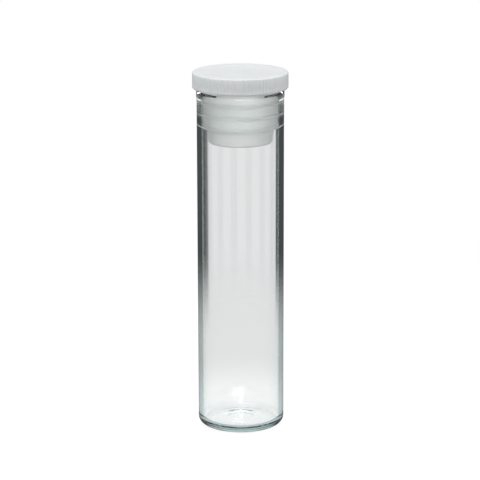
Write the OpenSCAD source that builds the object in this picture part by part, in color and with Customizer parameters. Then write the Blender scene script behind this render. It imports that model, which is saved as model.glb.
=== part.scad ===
// Glass sample vial: a straight, flat-bottomed tube of clear glass, closed by
// a hollow plastic stopper that seals in its mouth on three rings.
// The origin is the centre of the foot, and +Z runs up the vial.

/* [Glass tube] */
// Outer diameter of the tube
tube_d = 25; // [20:0.5:40]
// Height of the glass from the foot to the rim
tube_h = 100; // [60:1:160]
// Thickness of the wall
wall = 1.4; // [1:0.1:2]
// Thickness of the floor
floor_t = 1.6; // [1.2:0.1:3]
// Radius of the rounded heel outside
heel_r = 2.2; // [1.2:0.1:3]
// Radius of the hollow where the wall runs into the floor inside
inner_heel_r = 1.7; // [1:0.1:3]
// Width of the flat ring that the tube stands on
foot_w = 1.2; // [0.8:0.1:2]
// Height of the dome pushed up under the floor
push_up = 0.5; // [0.2:0.1:1]
// Radius of the ripple left on the floor inside
ripple_r = 5.2; // [3:0.1:6]
// Width of the ripple
ripple_w = 2.4; // [1:0.1:3]
// Height of the ripple
ripple_h = 0.2; // [0.05:0.05:0.4]

/* [Mouth] */
// How far the bead stands out of the wall
bead_proud = 0.15; // [0.1:0.05:0.5]
// Height of the bead
bead_h = 2; // [1:0.1:4]
// Plain glass between the bead and the rim
bead_drop = 0.9; // [0.8:0.1:2]
// Radius of the fire-polished edges of the rim
lip_r = 0.45; // [0.2:0.05:0.45]

/* [Stopper flange] */
// How far the flange stands out past the tube
cap_over = 1.25; // [0.6:0.05:3]
// Thickness of the flange
cap_t = 4.7; // [3.5:0.1:8]
// Radius of the rounded top edge
cap_edge_r = 0.35; // [0.2:0.05:0.8]
// Number of fine ribs round the flange
rib_count = 80; // [40:2:100]
// Depth of the grooves between the ribs
rib_deep = 0.25; // [0.1:0.05:0.4]
// Height of the plain band under the ribs
band_h = 0.6; // [0.4:0.1:1]
// Width of the raised rim round the top face
face_rim_w = 3.5; // [2:0.1:5]
// Depth of the shallow recess in the top face
face_deep = 0.2; // [0.1:0.05:0.5]
// Thickness of plastic over the hollow, below the recess
top_t = 1.6; // [1:0.1:2]

/* [Stopper plug] */
// Running clearance between the sealing rings and the bore
ring_clear = 0.1; // [0.05:0.05:0.2]
// How far the sealing rings stand out of the plug
ring_proud = 0.35; // [0.2:0.05:1]
// Height of a sealing ring where it leaves the plug
ring_w = 1.4; // [1.2:0.1:2.4]
// Height of the land on which a ring seals
ring_land = 0.6; // [0.3:0.1:0.9]
// Number of sealing rings
ring_count = 3; // [1:1:5]
// Depth of the first ring below the flange
ring_first = 3.5; // [2:0.1:6]
// Distance from ring to ring
ring_pitch = 3.5; // [3:0.1:6]
// Length of the plug below the middle of the last ring
tip_len = 5.2; // [3:0.1:12]
// How much smaller in radius the plain tip is than the plug above it
tip_step = 1.1; // [0.3:0.1:1.6]
// How much smaller the tip's radius is at its end
tip_taper = 0.3; // [0.1:0.05:0.6]
// Radius of the rounded end of the tip
tip_end_r = 0.9; // [0.4:0.1:1]
// Thickness of the plug's wall
plug_wall = 1.1; // [1:0.1:2]

/* [Hidden] */
$fn = 96;
arc_steps = 8;
rib_steps = 4;
over_cut = 1;
floor_steps = 28;
shoulder_h = 0.3;
crest_over = 0.06;

tube_r = tube_d / 2;
bore_r = tube_r - wall;
dome_r = tube_r - heel_r - foot_w;
floor_r = bore_r - inner_heel_r;
bead_top = tube_h - bead_drop;
cap_r = tube_r + cap_over;
cap_top = tube_h + cap_t;
face_r = cap_r - face_rim_w;
face_z = cap_top - face_deep;
ceiling_z = face_z - top_t;
ring_r = bore_r - ring_clear;
plug_r = ring_r - ring_proud;
tip_top_r = plug_r - tip_step;
tip_r = tip_top_r - tip_taper;
hollow_r = tip_r - plug_wall;
last_ring = ring_first + (ring_count - 1) * ring_pitch;
tip_z = tube_h - last_ring - tip_len;
shoulder_z = tube_h - last_ring - ring_w / 2;

// Points along an arc about [x, z], from angle a0 to angle a1
function arc(x, z, r, a0, a1) =
    [for (i = [0 : arc_steps])
        let (a = a0 + (a1 - a0) * i / arc_steps)
        [x + r * cos(a), z + r * sin(a)]];

// Radius of the arc that rises by rise over a chord
function arc_radius(chord, rise) = (chord * chord / 4 + rise * rise) / (2 * rise);

// A shallow dome from [0, rise] out to [span, 0]
function dome(span, rise) =
    let (r = arc_radius(2 * span, rise))
    let (half = asin(span / r))
    arc(0, rise - r, r, 90, 90 - half);

// Height of the floor inside: a dome with one round ripple on it
function floor_z(r) =
    let (off = min(abs(r - ripple_r) / ripple_w, 0.5))
    let (ripple = ripple_h * (1 + cos(360 * off)) / 2)
    floor_t + push_up * (1 - pow(r / floor_r, 2)) + ripple;

// The floor inside, from the inner heel to the middle
function floor_section() =
    [for (i = [1 : floor_steps])
        let (r = floor_r * (1 - i / floor_steps))
        [r, floor_z(r)]];

// The bead's bulge, going up the outside of the wall
function bead_arc() =
    let (r = arc_radius(bead_h, bead_proud))
    let (half = asin(bead_h / 2 / r))
    arc(tube_r + bead_proud - r, bead_top - bead_h / 2, r, -half, half);

// The tube's section: foot and heel, wall and bead, rim, bore and floor
function tube_section() = concat(
    dome(dome_r, push_up),
    arc(tube_r - heel_r, heel_r, heel_r, -90, 0),
    bead_arc(),
    arc(tube_r - lip_r, tube_h - lip_r, lip_r, 0, 90),
    arc(bore_r + lip_r, tube_h - lip_r, lip_r, 90, 180),
    arc(floor_r, floor_t + inner_heel_r, inner_heel_r, 0, -90),
    floor_section()
);

// The rounded flange, with the shallow recess in its top face
function flange_section() = concat(
    [[0, tube_h], [cap_r - band_h / 2, tube_h], [cap_r, tube_h + band_h / 2]],
    arc(cap_r - cap_edge_r, cap_top - cap_edge_r, cap_edge_r, 0, 90),
    [[face_r, cap_top], [face_r - face_deep, face_z], [0, face_z]]
);

// The grooves' outline, a wave with one crest for each rib. The crests pass
// the flange's own radius a little, which leaves a narrow land on each rib.
function ribbed_outline() =
    let (swing = rib_deep + crest_over)
    [for (i = [0 : rib_count * rib_steps - 1])
        let (a = 360 * i / (rib_count * rib_steps))
        let (r = cap_r + crest_over - swing * (1 - cos(rib_count * a)) / 2)
        [r * cos(a), r * sin(a)]];

// One sealing ring, going down the plug, with its middle at height z
function ring_section(z) = [
    [plug_r, z + ring_w / 2],
    [ring_r, z + ring_land / 2],
    [ring_r, z - ring_land / 2],
    [plug_r, z - ring_w / 2]
];

// The outside of the plug, from the flange down to the tip
function plug_section() = concat(
    [[0, tube_h], [plug_r, tube_h]],
    [for (i = [0 : ring_count - 1])
        for (p = ring_section(tube_h - ring_first - i * ring_pitch)) p],
    [[tip_top_r, shoulder_z - shoulder_h]],
    arc(tip_r - tip_end_r, tip_z + tip_end_r, tip_end_r, 0, -90),
    [[0, tip_z]]
);

module glass_tube() {
    color([0.82, 0.88, 0.86, 0.35])
        rotate_extrude()
            polygon(tube_section());
}

// The grooves between the ribs, which stop above the plain band
module grooves() {
    translate([0, 0, tube_h + band_h])
        linear_extrude(cap_t)
            difference() {
                circle(r = cap_r + over_cut);
                polygon(ribbed_outline());
            }
}

module stopper() {
    color([0.80, 0.84, 0.85])
        difference() {
            union() {
                rotate_extrude() polygon(flange_section());
                rotate_extrude() polygon(plug_section());
            }
            grooves();
            translate([0, 0, tip_z - over_cut])
                cylinder(r = hollow_r, h = ceiling_z - tip_z + over_cut);
        }
}

glass_tube();
stopper();
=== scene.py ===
import math

import bpy
import numpy as np
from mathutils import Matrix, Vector


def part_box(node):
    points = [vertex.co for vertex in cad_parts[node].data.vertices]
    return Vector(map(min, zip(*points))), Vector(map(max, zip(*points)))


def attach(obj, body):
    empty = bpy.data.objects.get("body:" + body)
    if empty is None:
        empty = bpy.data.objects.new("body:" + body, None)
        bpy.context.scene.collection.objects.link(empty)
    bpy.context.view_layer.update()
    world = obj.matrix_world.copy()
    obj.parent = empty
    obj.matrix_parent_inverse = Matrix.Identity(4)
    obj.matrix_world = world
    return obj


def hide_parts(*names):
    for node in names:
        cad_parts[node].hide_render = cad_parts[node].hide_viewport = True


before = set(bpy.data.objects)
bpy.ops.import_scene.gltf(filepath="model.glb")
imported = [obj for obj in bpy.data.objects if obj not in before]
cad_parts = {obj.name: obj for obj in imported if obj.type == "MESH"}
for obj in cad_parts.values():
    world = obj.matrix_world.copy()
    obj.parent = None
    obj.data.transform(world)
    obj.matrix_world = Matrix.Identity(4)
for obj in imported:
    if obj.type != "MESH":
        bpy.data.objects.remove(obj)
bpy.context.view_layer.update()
scene = bpy.context.scene
MM = 0.001

# The room: a pale bench with a white backdrop, a wide soft lamp overhead and
# a soft strip in front. Glass shows its edges only against something dark,
# so what it refracts is a ring of white panels with dark gaps between them.
PANEL_STEP = math.radians(45)
PANEL_OFFSET = math.radians(-2.3)
PANEL_WHITE = math.radians(11.2)
PANEL_DARK = math.radians(14.8)
ROOM_DARK = 0.07
PANEL_LEVEL = 0.87
PANEL_TOP = 0.30
ROOM_LOW = 1.25
ROOM_FILL = 0.63
GLASS_FILL_SIDE = 0.25
GLASS_FILL_FRONT = 1.55
BENCH_WHITE_R = 80 * MM
BENCH_END_R = 212 * MM
BENCH_COLOR = (0.25, 0.25, 0.25, 1)
BENCH_GLOW = 0.88
BENCH_THROUGH_GLOW = 0.60
BENCH_WALL_GLOW = 0.26
# Painted light: close round the vial, the bench glows brighter to rays that came through the glass.
# This is a painted pool of light under the vial.
BENCH_PAINTED_POOL_GLOW = 0.85
BENCH_PAINTED_HEEL_GLOW = 0.50
PAINTED_POOL_OUTER_R = 70 * MM
PAINTED_POOL_INNER_R = 14 * MM
COOL_GREY = (0.86, 1.0, 1.02, 1)
WARM_WHITE = (1.0, 0.98, 0.95, 1)


def math_node(tree, operation, *values):
    """Adds one Math node; each value is a number or another node's output."""
    node = tree.nodes.new("ShaderNodeMath")
    node.operation = operation
    for socket, value in zip(node.inputs, values):
        if isinstance(value, (int, float)):
            socket.default_value = value
        else:
            tree.links.new(value, socket)
    return node.outputs[0]


def smooth_step(tree, value, start, end):
    """0 before start and 1 past end, with a smooth ramp between them."""
    node = tree.nodes.new("ShaderNodeMapRange")
    node.interpolation_type = "SMOOTHSTEP"
    tree.links.new(value, node.inputs["Value"])
    node.inputs["From Min"].default_value = start
    node.inputs["From Max"].default_value = end
    return node.outputs["Result"]


def blend(tree, low, high, weight):
    """low where the weight is 0 and high where it is 1, in proportion between."""
    gap = math_node(tree, "SUBTRACT", high, low)
    return math_node(tree, "MULTIPLY_ADD", gap, weight, low)


def cooled(tree, weight):
    """White where the weight is 0, and the cool grey of the walls where it is 1."""
    tint = tree.nodes.new("ShaderNodeMix")
    tint.data_type = "RGBA"
    tree.links.new(weight, tint.inputs[0])
    tint.inputs[6].default_value = (1, 1, 1, 1)
    tint.inputs[7].default_value = COOL_GREY
    return tint.outputs[2]


def panel_light(tree, direction):
    """1 where a direction meets a white panel and 0 in the gaps.

    The angle round Z is folded into half a panel step, so that the distance
    from the nearest panel's middle is left, and a smooth step is put on it.
    """
    split = tree.nodes.new("ShaderNodeSeparateXYZ")
    tree.links.new(direction, split.inputs[0])
    angle = math_node(tree, "ARCTAN2", split.outputs["Y"], split.outputs["X"])
    turn = math_node(tree, "ADD", angle, PANEL_STEP / 2 - PANEL_OFFSET)
    wrapped = math_node(tree, "WRAP", turn, PANEL_STEP, 0)
    off = math_node(tree, "ABSOLUTE", math_node(tree, "SUBTRACT", wrapped, PANEL_STEP / 2))
    dark = smooth_step(tree, off, PANEL_WHITE, PANEL_DARK)
    return math_node(tree, "SUBTRACT", 1.0, dark)


def front_weight(tree, direction):
    """1 to the front and to the back, and 0 sideways: y squared."""
    split = tree.nodes.new("ShaderNodeSeparateXYZ")
    tree.links.new(direction, split.inputs[0])
    return math_node(tree, "MULTIPLY", split.outputs["Y"], split.outputs["Y"])


def make_world():
    """White to the camera, panels to glass and gloss, even fill to the rest."""
    world = bpy.data.worlds.new("studio")
    world.use_nodes = True
    tree = world.node_tree
    tree.nodes.clear()
    out = tree.nodes.new("ShaderNodeOutputWorld")
    back = tree.nodes.new("ShaderNodeBackground")
    tree.links.new(back.outputs[0], out.inputs[0])
    coord = tree.nodes.new("ShaderNodeTexCoord")
    path = tree.nodes.new("ShaderNodeLightPath")
    panels = panel_light(tree, coord.outputs["Generated"])
    # Light led along inside one wall leaves it after two faces
    through = math_node(tree, "GREATER_THAN", path.outputs["Transmission Depth"], 3.5)
    split = tree.nodes.new("ShaderNodeSeparateXYZ")
    tree.links.new(coord.outputs["Generated"], split.inputs[0])
    overhead = smooth_step(tree, split.outputs["Z"], PANEL_TOP, PANEL_TOP + 0.15)
    low_part = math_node(tree, "SUBTRACT", 1.0, overhead)
    lit = math_node(tree, "MULTIPLY", math_node(tree, "MULTIPLY", panels, low_part), through)
    lit = math_node(tree, "MULTIPLY", lit, PANEL_LEVEL)
    level_up = smooth_step(tree, split.outputs["Z"], -0.04, 0.06)
    inside = math_node(tree, "GREATER_THAN", path.outputs["Transmission Depth"], 0.5)
    matt = math_node(tree, "GREATER_THAN", path.outputs["Diffuse Depth"], 0.5)
    clear = math_node(tree, "SUBTRACT", 1.0, matt)
    led = math_node(tree, "MULTIPLY", math_node(tree, "MULTIPLY", level_up, inside), ROOM_LOW)
    along = math_node(tree, "ABSOLUTE", split.outputs["Y"])
    led = math_node(tree, "MULTIPLY", led, smooth_step(tree, along, 0.6, 0.8))
    led = math_node(tree, "MULTIPLY", led, clear)
    bright = math_node(tree, "MAXIMUM", lit, led)
    room = math_node(tree, "MULTIPLY_ADD", bright, 1.0 - ROOM_DARK, ROOM_DARK)
    extra = math_node(
        tree, "MULTIPLY_ADD", front_weight(tree, coord.outputs["Generated"]),
        GLASS_FILL_FRONT - GLASS_FILL_SIDE, GLASS_FILL_SIDE - ROOM_FILL)
    level = math_node(tree, "MULTIPLY_ADD", inside, extra, ROOM_FILL)
    fill = math_node(tree, "MULTIPLY", matt, level)
    light = math_node(tree, "MAXIMUM", room, fill)
    level = math_node(tree, "MAXIMUM", light, path.outputs["Is Camera Ray"])
    tree.links.new(level, back.inputs["Strength"])
    walls = math_node(tree, "MULTIPLY", math_node(tree, "SUBTRACT", inside, through), clear)
    dim = math_node(tree, "MULTIPLY", walls, math_node(tree, "SUBTRACT", 1.0, level_up))
    warm = tree.nodes.new("ShaderNodeMix")
    warm.data_type = "RGBA"
    tree.links.new(math_node(tree, "MULTIPLY", matt, inside), warm.inputs[0])
    tree.links.new(cooled(tree, dim), warm.inputs[6])
    warm.inputs[7].default_value = WARM_WHITE
    tree.links.new(warm.outputs[2], back.inputs["Color"])
    scene.world = world


def make_bench():
    """A flat disc under the vial that thins out to nothing at its edge, with a painted pool of light
    round the vial's foot.
    """
    rings = np.linspace(0, 1, 25)[1:] * BENCH_END_R
    turn = np.linspace(0, 2 * np.pi, 97)[:-1]
    x = np.outer(rings, np.cos(turn)).ravel()
    y = np.outer(rings, np.sin(turn)).ravel()
    verts = np.column_stack([np.append(x, 0), np.append(y, 0), np.zeros(x.size + 1)])
    row, col = np.meshgrid(np.arange(rings.size - 1), np.arange(turn.size), indexing="ij")
    nxt = (col + 1) % turn.size
    n = turn.size
    quads = np.stack(
        [row * n + col, (row + 1) * n + col, (row + 1) * n + nxt, row * n + nxt], -1
    ).reshape(-1, 4)
    col = np.arange(n)
    fan = np.column_stack([np.full(n, x.size), col, (col + 1) % n])
    mesh = bpy.data.meshes.new("bench")
    mesh.from_pydata(verts.tolist(), [], quads.tolist() + fan.tolist())
    bench = bpy.data.objects.new("bench", mesh)
    scene.collection.objects.link(bench)

    material = bpy.data.materials.new("bench_white")
    material.use_nodes = True
    tree = material.node_tree
    tree.nodes.clear()
    out = tree.nodes.new("ShaderNodeOutputMaterial")
    coord = tree.nodes.new("ShaderNodeTexCoord")
    path = tree.nodes.new("ShaderNodeLightPath")
    matt = tree.nodes.new("ShaderNodeBsdfDiffuse")
    matt.inputs["Color"].default_value = BENCH_COLOR
    glow = tree.nodes.new("ShaderNodeEmission")
    length = tree.nodes.new("ShaderNodeVectorMath")
    length.operation = "LENGTH"
    tree.links.new(coord.outputs["Object"], length.inputs[0])
    # The painted pool of light: full inside the inner radius round the vial's foot, and gone at the
    # outer radius.
    painted_pool_weight = smooth_step(tree, length.outputs["Value"], PAINTED_POOL_OUTER_R, PAINTED_POOL_INNER_R)
    bare = math_node(tree, "MULTIPLY", path.outputs["Is Camera Ray"], BENCH_GLOW)
    inside = math_node(tree, "GREATER_THAN", path.outputs["Transmission Depth"], 0.5)
    through = math_node(tree, "GREATER_THAN", path.outputs["Transmission Depth"], 3.5)
    led = math_node(tree, "MULTIPLY", inside, BENCH_WALL_GLOW)
    far = math_node(
        tree, "MULTIPLY_ADD", through, BENCH_THROUGH_GLOW - BENCH_WALL_GLOW, led)
    # Painted light: near the vial, rays through the glass see the bench glow brighter. This is the
    # painted pool under the vial.
    heel = math_node(tree, "MULTIPLY", inside, BENCH_PAINTED_HEEL_GLOW)
    painted_pool_level = math_node(
        tree, "MULTIPLY_ADD", through, BENCH_PAINTED_POOL_GLOW - BENCH_PAINTED_HEEL_GLOW, heel)
    tree.links.new(math_node(tree, "ADD", bare, blend(tree, far, painted_pool_level, painted_pool_weight)), glow.inputs["Strength"])
    walls = math_node(tree, "SUBTRACT", inside, through)
    tree.links.new(cooled(tree, walls), glow.inputs["Color"])
    both = tree.nodes.new("ShaderNodeAddShader")
    tree.links.new(matt.outputs[0], both.inputs[0])
    tree.links.new(glow.outputs[0], both.inputs[1])
    gone = smooth_step(tree, length.outputs["Value"], BENCH_WHITE_R, BENCH_END_R)
    clear = tree.nodes.new("ShaderNodeBsdfTransparent")
    mix = tree.nodes.new("ShaderNodeMixShader")
    tree.links.new(gone, mix.inputs[0])
    tree.links.new(both.outputs[0], mix.inputs[1])
    tree.links.new(clear.outputs[0], mix.inputs[2])
    tree.links.new(mix.outputs[0], out.inputs[0])
    mesh.materials.append(material)


def soft_lamp(name, place, aim, width, height, power):
    """An area lamp at place, with its face turned to aim."""
    data = bpy.data.lights.new(name, "AREA")
    data.shape = "RECTANGLE"
    data.size = width
    data.size_y = height
    data.energy = power
    lamp = bpy.data.objects.new(name, data)
    lamp.location = place
    look = np.subtract(aim, place)
    lamp.rotation_mode = "QUATERNION"
    lamp.rotation_quaternion = Vector(look).to_track_quat("-Z", "Y")
    scene.collection.objects.link(lamp)
    return lamp


make_world()
make_bench()
soft_lamp("overhead_lamp", (-0.05, -0.05, 0.75), (0, 0, 0.05), 0.5, 0.5, 2.7)
sheen_strip = soft_lamp("sheen_strip", (0.14, -0.80, 0.235), (0, 0, 0.09), 0.60, 0.12, 1.2)
sheen_strip.visible_diffuse = False
glint_lamp = soft_lamp("glint_lamp", (0.0, -0.80, 0.26), (0, 0, 0.09), 0.10, 0.20, 0.9)
glint_lamp.visible_diffuse = False

# The camera stands where the photograph's outlines place it: a long lens
# that looks down on the vial, a little to one side of its middle line.
CAMERA_AWAY = 640 * MM
CAMERA_UP = 218.3 * MM
CAMERA_PITCH = 0.2496
CAMERA_ROLL = -0.0024
PHOTO_SIZE = 480
FOCAL_PX = 2277
SIDE_PX = 0.67
SENSOR = 36.0
camera_data = bpy.data.cameras.new("camera")
camera_data.sensor_width = SENSOR
camera_data.lens = FOCAL_PX / PHOTO_SIZE * SENSOR
camera_data.clip_start = 0.01
camera = bpy.data.objects.new("camera", camera_data)
camera.location = (0, -CAMERA_AWAY, CAMERA_UP)
camera.rotation_mode = "XYZ"
camera.rotation_euler = (math.pi / 2 - CAMERA_PITCH, 0, SIDE_PX / FOCAL_PX)
camera.rotation_euler.rotate_axis("Z", CAMERA_ROLL)
scene.collection.objects.link(camera)
scene.camera = camera

scene.view_settings.view_transform = "Standard"

# The glass tube: drawn clear glass with a thick formed base, pushed up a
# little in the middle so that it stands on a ring. Its mouth is beaded and
# fire polished. Everything about it is round, so one section is turned.
tube_lo, tube_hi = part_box("glass_tube")
TUBE_H = tube_hi[2]
TUBE_R = 12.5 * MM
WALL = 1.4 * MM
BORE_R = TUBE_R - WALL
FLOOR_T = 1.6 * MM
HEEL_R = 2.2 * MM
INNER_HEEL_R = 1.7 * MM
FOOT_W = 1.2 * MM
PUSH_UP = 0.5 * MM
RIPPLE_R = 5.2 * MM
RIPPLE_W = 3.2 * MM
RIPPLE_H = 0.09 * MM
BEAD_PROUD = 0.15 * MM
BEAD_H = 2.0 * MM
BEAD_DROP = 0.9 * MM
LIP_R = 0.45 * MM
TUBE_TURNS = 360
HAZE = 0.012
DRAW_DEPTH = 0.012 * MM
GLASS_TINT = (0.76, 0.85, 0.84, 1)
GLASS_DEPTH = 105


def arc(x, z, r, start, end, steps):
    """Points on a circle about (x, z), from one angle in degrees to another."""
    a = np.radians(np.linspace(start, end, steps))
    return np.column_stack([x + r * np.cos(a), z + r * np.sin(a)])


def straight(start, end, steps):
    """Points along a straight line, with neither end."""
    t = np.linspace(0, 1, steps + 2)[1:-1, None]
    return np.array(start) * (1 - t) + np.array(end) * t


def turned(name, section, turns, wave=None):
    """A closed solid of revolution from a section that starts and ends on Z.

    Each section point (r, z) goes round Z in equal steps, at the radius
    r + wave(r, z, angle) where a wave is given. The two end points stay
    single, and fans of triangles join them to their neighbours.
    """
    angle = np.arange(turns) * 2 * np.pi / turns
    ring = section[1:-1]
    radius = ring[:, :1] + np.zeros((1, turns))
    height = ring[:, 1:] + np.zeros((1, turns))
    if wave is not None:
        radius = radius + wave(radius, height, angle[None, :])
    grid = np.stack([radius * np.cos(angle), radius * np.sin(angle), height], -1)
    ends = np.array([[0, 0, section[0, 1]], [0, 0, section[-1, 1]]])
    verts = np.concatenate([grid.reshape(-1, 3), ends])
    rows = len(ring)
    row, col = np.meshgrid(np.arange(rows - 1), np.arange(turns), indexing="ij")
    nxt = (col + 1) % turns
    quads = np.stack(
        [row * turns + col, row * turns + nxt, (row + 1) * turns + nxt, (row + 1) * turns + col],
        -1,
    ).reshape(-1, 4)
    col = np.arange(turns)
    nxt = (col + 1) % turns
    last = (rows - 1) * turns
    low_fan = np.column_stack([np.full(turns, rows * turns), nxt, col])
    high_fan = np.column_stack([np.full(turns, rows * turns + 1), last + col, last + nxt])
    mesh = bpy.data.meshes.new(name)
    mesh.from_pydata(verts.tolist(), [], quads.tolist() + low_fan.tolist() + high_fan.tolist())
    mesh.polygons.foreach_set("use_smooth", np.ones(len(mesh.polygons), bool))
    mesh.update()
    piece = bpy.data.objects.new(name, mesh)
    scene.collection.objects.link(piece)
    return piece


def tube_section():
    """The tube's section, up the outside and down the inside."""
    dome_r = TUBE_R - HEEL_R - FOOT_W
    under_r = np.linspace(0, dome_r, 24)
    under = np.column_stack([under_r, PUSH_UP * (1 - (under_r / dome_r) ** 2)])
    heel = arc(TUBE_R - HEEL_R, HEEL_R, HEEL_R, -90, 0, 16)
    bead_low = TUBE_H - BEAD_DROP - BEAD_H
    wall = straight((TUBE_R, HEEL_R), (TUBE_R, bead_low), 12)
    bead_z = np.linspace(bead_low, bead_low + BEAD_H, 17)
    swell = np.sin(np.pi * (bead_z - bead_low) / BEAD_H) ** 0.8
    bead = np.column_stack([TUBE_R + BEAD_PROUD * swell, bead_z])
    lip_out = arc(TUBE_R - LIP_R, TUBE_H - LIP_R, LIP_R, 0, 90, 9)
    lip_in = arc(BORE_R + LIP_R, TUBE_H - LIP_R, LIP_R, 90, 180, 9)
    inner_z = FLOOR_T + INNER_HEEL_R
    bore = straight((BORE_R, TUBE_H - LIP_R), (BORE_R, inner_z), 12)
    inner_heel = arc(BORE_R - INNER_HEEL_R, inner_z, INNER_HEEL_R, 0, -90, 20)
    span = BORE_R - INNER_HEEL_R
    floor_r = np.linspace(span, 0, 60)[1:]
    off = np.minimum(np.abs(floor_r - RIPPLE_R) / RIPPLE_W, 0.5)
    ripple = RIPPLE_H * (1 + np.cos(2 * np.pi * off)) / 2
    floor_z = FLOOR_T + PUSH_UP * (1 - (floor_r / span) ** 2) + ripple
    floor = np.column_stack([floor_r, floor_z])
    return np.concatenate([under, heel, wall, bead, lip_out, lip_in, bore, inner_heel, floor])


def noise(tree, coord, scale, detail):
    """A noise of the given scale per metre along each axis, from 0 to 1."""
    stretch = tree.nodes.new("ShaderNodeMapping")
    stretch.inputs["Scale"].default_value = scale
    tree.links.new(coord, stretch.inputs["Vector"])
    node = tree.nodes.new("ShaderNodeTexNoise")
    node.inputs["Scale"].default_value = 1.0
    node.inputs["Detail"].default_value = detail
    tree.links.new(stretch.outputs[0], node.inputs["Vector"])
    return node.outputs["Fac"]


def bumped(tree, height, depth, strength):
    """A normal from a height between 0 and 1 that stands for depth metres."""
    node = tree.nodes.new("ShaderNodeBump")
    node.inputs["Strength"].default_value = strength
    node.inputs["Distance"].default_value = depth
    tree.links.new(height, node.inputs["Height"])
    return node.outputs[0]


def ramp(tree, value, low, high):
    """Stretches a value between 0 and 1 to run from low to high."""
    return math_node(tree, "MULTIPLY_ADD", value, high - low, low)


def glass_material():
    """Clear soda glass, with the faint grey green of its thickness.

    Drawn tube has long, very shallow waves in its wall, so the bump's noise
    is stretched along Z. The mouth and wall also carry a trace of haze.
    """
    material = bpy.data.materials.new("clear_glass")
    material.use_nodes = True
    tree = material.node_tree
    shader = tree.nodes["Principled BSDF"]
    shader.inputs["Base Color"].default_value = (1, 1, 1, 1)
    shader.inputs["Transmission Weight"].default_value = 1.0
    shader.inputs["IOR"].default_value = 1.5
    place = tree.nodes.new("ShaderNodeTexCoord").outputs["Object"]
    haze = noise(tree, place, (120, 120, 60), 3.0)
    tree.links.new(ramp(tree, haze, 0.0, HAZE), shader.inputs["Roughness"])
    waves = noise(tree, place, (160, 160, 9), 1.0)
    tree.links.new(bumped(tree, waves, DRAW_DEPTH, 1.0), shader.inputs["Normal"])
    depth = tree.nodes.new("ShaderNodeVolumeAbsorption")
    depth.inputs["Color"].default_value = GLASS_TINT
    depth.inputs["Density"].default_value = GLASS_DEPTH
    tree.links.new(depth.outputs[0], tree.nodes["Material Output"].inputs["Volume"])
    return material


tube = turned("glass_tube_turned", tube_section(), TUBE_TURNS)
tube.data.materials.append(glass_material())
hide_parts("glass_tube")
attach(tube, "tube")

# The stopper: one moulding of natural polythene, milky and a little see
# through. Its flange has fine ribs for the fingers, and its hollow plug
# seals in the mouth on three rings. It is pushed in, flange to rim.
stopper_lo, stopper_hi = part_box("stopper")
CAP_TOP = stopper_hi[2]
CAP_R = 13.75 * MM
CAP_EDGE_R = 0.35 * MM
RIB_COUNT = 80
RIB_DEEP = 0.34 * MM
RIB_TURNS = 8
BAND_H = 0.6 * MM
FACE_RIM_W = 3.5 * MM
FACE_DEEP = 0.2 * MM
FACE_SLOPE = 2.0 * MM
TOP_T = 1.6 * MM
RING_R = BORE_R + 0.01 * MM
PLUG_R = 10.65 * MM
RING_FIRST = 3.5 * MM
RING_PITCH = 3.5 * MM
RING_COUNT = 3
RING_W = 1.4 * MM
RING_LAND = 0.6 * MM
TIP_LEN = 5.2 * MM
TIP_STEP = 1.1 * MM
TIP_TAPER = 0.3 * MM
TIP_END_R = 0.9 * MM
SHOULDER_H = 0.3 * MM
PLUG_WALL = 1.1 * MM
STOPPER_COLOR = (0.91, 0.955, 0.96, 1)
STOPPER_CLOUDY = (0.87, 0.915, 0.925, 1)
SWIRL_DEPTH = 0.03 * MM
GRAIN_SHARE = 0.25


def softened(corners, radius, steps):
    """A path through corners whose inner ones are cut by short curves.

    Each curve is a quadratic one: it leaves the path the given distance
    before the corner, aims at the corner, and joins it as far past it.
    """
    corners = np.array(corners)
    path = [corners[:1]]
    for before, here, after in zip(corners[:-2], corners[1:-1], corners[2:]):
        back = before - here
        on = after - here
        cut = min(radius, np.linalg.norm(back) * 0.45, np.linalg.norm(on) * 0.45)
        start = here + back / np.linalg.norm(back) * cut
        end = here + on / np.linalg.norm(on) * cut
        t = np.linspace(0, 1, steps)[:, None]
        path.append(start * (1 - t) ** 2 + here * 2 * t * (1 - t) + end * t ** 2)
    path.append(corners[-1:])
    return np.concatenate(path)


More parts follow.
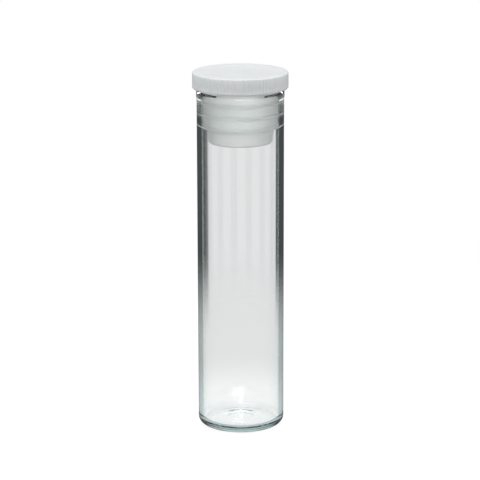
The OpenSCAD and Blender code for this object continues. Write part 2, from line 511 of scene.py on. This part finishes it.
def stopper_section():
    """The stopper's section, from the hollow's ceiling round to the face."""
    last = RING_FIRST + (RING_COUNT - 1) * RING_PITCH
    tip_z = TUBE_H - last - TIP_LEN
    tip_r = PLUG_R - TIP_STEP - TIP_TAPER
    hollow_r = tip_r - PLUG_WALL
    ceiling = CAP_TOP - FACE_DEEP - TOP_T
    inside = softened(
        [(0, ceiling), (hollow_r, ceiling), (hollow_r, tip_z), (tip_r - TIP_END_R, tip_z)],
        0.15 * MM, 5)
    end = arc(tip_r - TIP_END_R, tip_z + TIP_END_R, TIP_END_R, -90, 0, 9)
    shoulder = TUBE_H - last - RING_W / 2
    tip_top = (PLUG_R - TIP_STEP, shoulder - SHOULDER_H)
    tip = np.concatenate([inside[:-1], end, straight(end[-1], tip_top, 4)])
    rings = [tip_top]
    for i in reversed(range(RING_COUNT)):
        z = TUBE_H - RING_FIRST - i * RING_PITCH
        rings += [(PLUG_R, z - RING_W / 2), (RING_R, z - RING_LAND / 2),
                  (RING_R, z + RING_LAND / 2), (PLUG_R, z + RING_W / 2)]
    rings = softened(rings + [(PLUG_R, TUBE_H), (CAP_R - BAND_H / 2, TUBE_H)], 0.15 * MM, 5)
    side = np.concatenate([
        [(CAP_R - BAND_H / 2, TUBE_H), (CAP_R, TUBE_H + BAND_H / 2)],
        straight((CAP_R, TUBE_H + BAND_H / 2), (CAP_R, TUBE_H + BAND_H * 1.5), 5),
        straight((CAP_R, TUBE_H + BAND_H * 1.5), (CAP_R, CAP_TOP - CAP_EDGE_R), 6),
        arc(CAP_R - CAP_EDGE_R, CAP_TOP - CAP_EDGE_R, CAP_EDGE_R, 0, 90, 9),
    ])
    face_r = CAP_R - FACE_RIM_W
    face = softened(
        [(CAP_R - CAP_EDGE_R - 0.1 * MM, CAP_TOP), (face_r, CAP_TOP),
         (face_r - FACE_SLOPE, CAP_TOP - FACE_DEEP), (0, CAP_TOP - FACE_DEEP)],
        1.0 * MM, 9)
    return np.concatenate([tip, rings[:-1], side, face])


def ribs(radius, height, angle):
    """The wave of the ribs: a crest for each rib, and nothing on the band.

    Depth grows over a short step above the band, and only the outermost
    part of the flange takes it, so the grooves run out at the top edge.
    """
    up = np.clip((height - TUBE_H - BAND_H) / (0.3 * MM), 0, 1)
    out = np.clip((radius - CAP_R + CAP_EDGE_R * 2) / CAP_EDGE_R, 0, 1)
    crest = np.abs(np.cos(RIB_COUNT * angle / 2))
    return -RIB_DEEP * up * out * (1 - crest)


def stopper_material():
    """Milky polythene with a soft sheen.

    The moulding has a fine orange-peel grain, flow marks that curl round
    the gate in the middle, and a faint unevenness in how milky it is.
    """
    material = bpy.data.materials.new("milky_polythene")
    material.use_nodes = True
    tree = material.node_tree
    shader = tree.nodes["Principled BSDF"]
    shader.inputs["IOR"].default_value = 1.51
    shader.inputs["Subsurface Weight"].default_value = 0.6
    shader.inputs["Subsurface Radius"].default_value = (1, 1, 1)
    shader.inputs["Subsurface Scale"].default_value = 0.002
    place = tree.nodes.new("ShaderNodeTexCoord").outputs["Object"]
    cloud = noise(tree, place, (170, 170, 240), 3.0)
    tint = tree.nodes.new("ShaderNodeMix")
    tint.data_type = "RGBA"
    tree.links.new(smooth_step(tree, cloud, 0.35, 0.68), tint.inputs[0])
    tint.inputs[6].default_value = STOPPER_COLOR
    tint.inputs[7].default_value = STOPPER_CLOUDY
    tree.links.new(tint.outputs[2], shader.inputs["Base Color"])
    grain = noise(tree, place, (2600, 2600, 2600), 4.0)
    tree.links.new(ramp(tree, grain, 0.32, 0.46), shader.inputs["Roughness"])
    swirl = tree.nodes.new("ShaderNodeTexWave")
    swirl.wave_type = "RINGS"
    swirl.rings_direction = "Z"
    swirl.inputs["Scale"].default_value = 55.0
    swirl.inputs["Distortion"].default_value = 9.0
    swirl.inputs["Detail"].default_value = 2.0
    swirl.inputs["Detail Scale"].default_value = 1.2
    tree.links.new(place, swirl.inputs["Vector"])
    height = math_node(tree, "MULTIPLY_ADD", grain, GRAIN_SHARE, swirl.outputs["Fac"])
    tree.links.new(bumped(tree, height, SWIRL_DEPTH, 1.0), shader.inputs["Normal"])
    return material


stopper = turned("stopper_moulding", stopper_section(), RIB_COUNT * RIB_TURNS, ribs)
stopper.data.materials.append(stopper_material())
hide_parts("stopper")
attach(stopper, "cap")
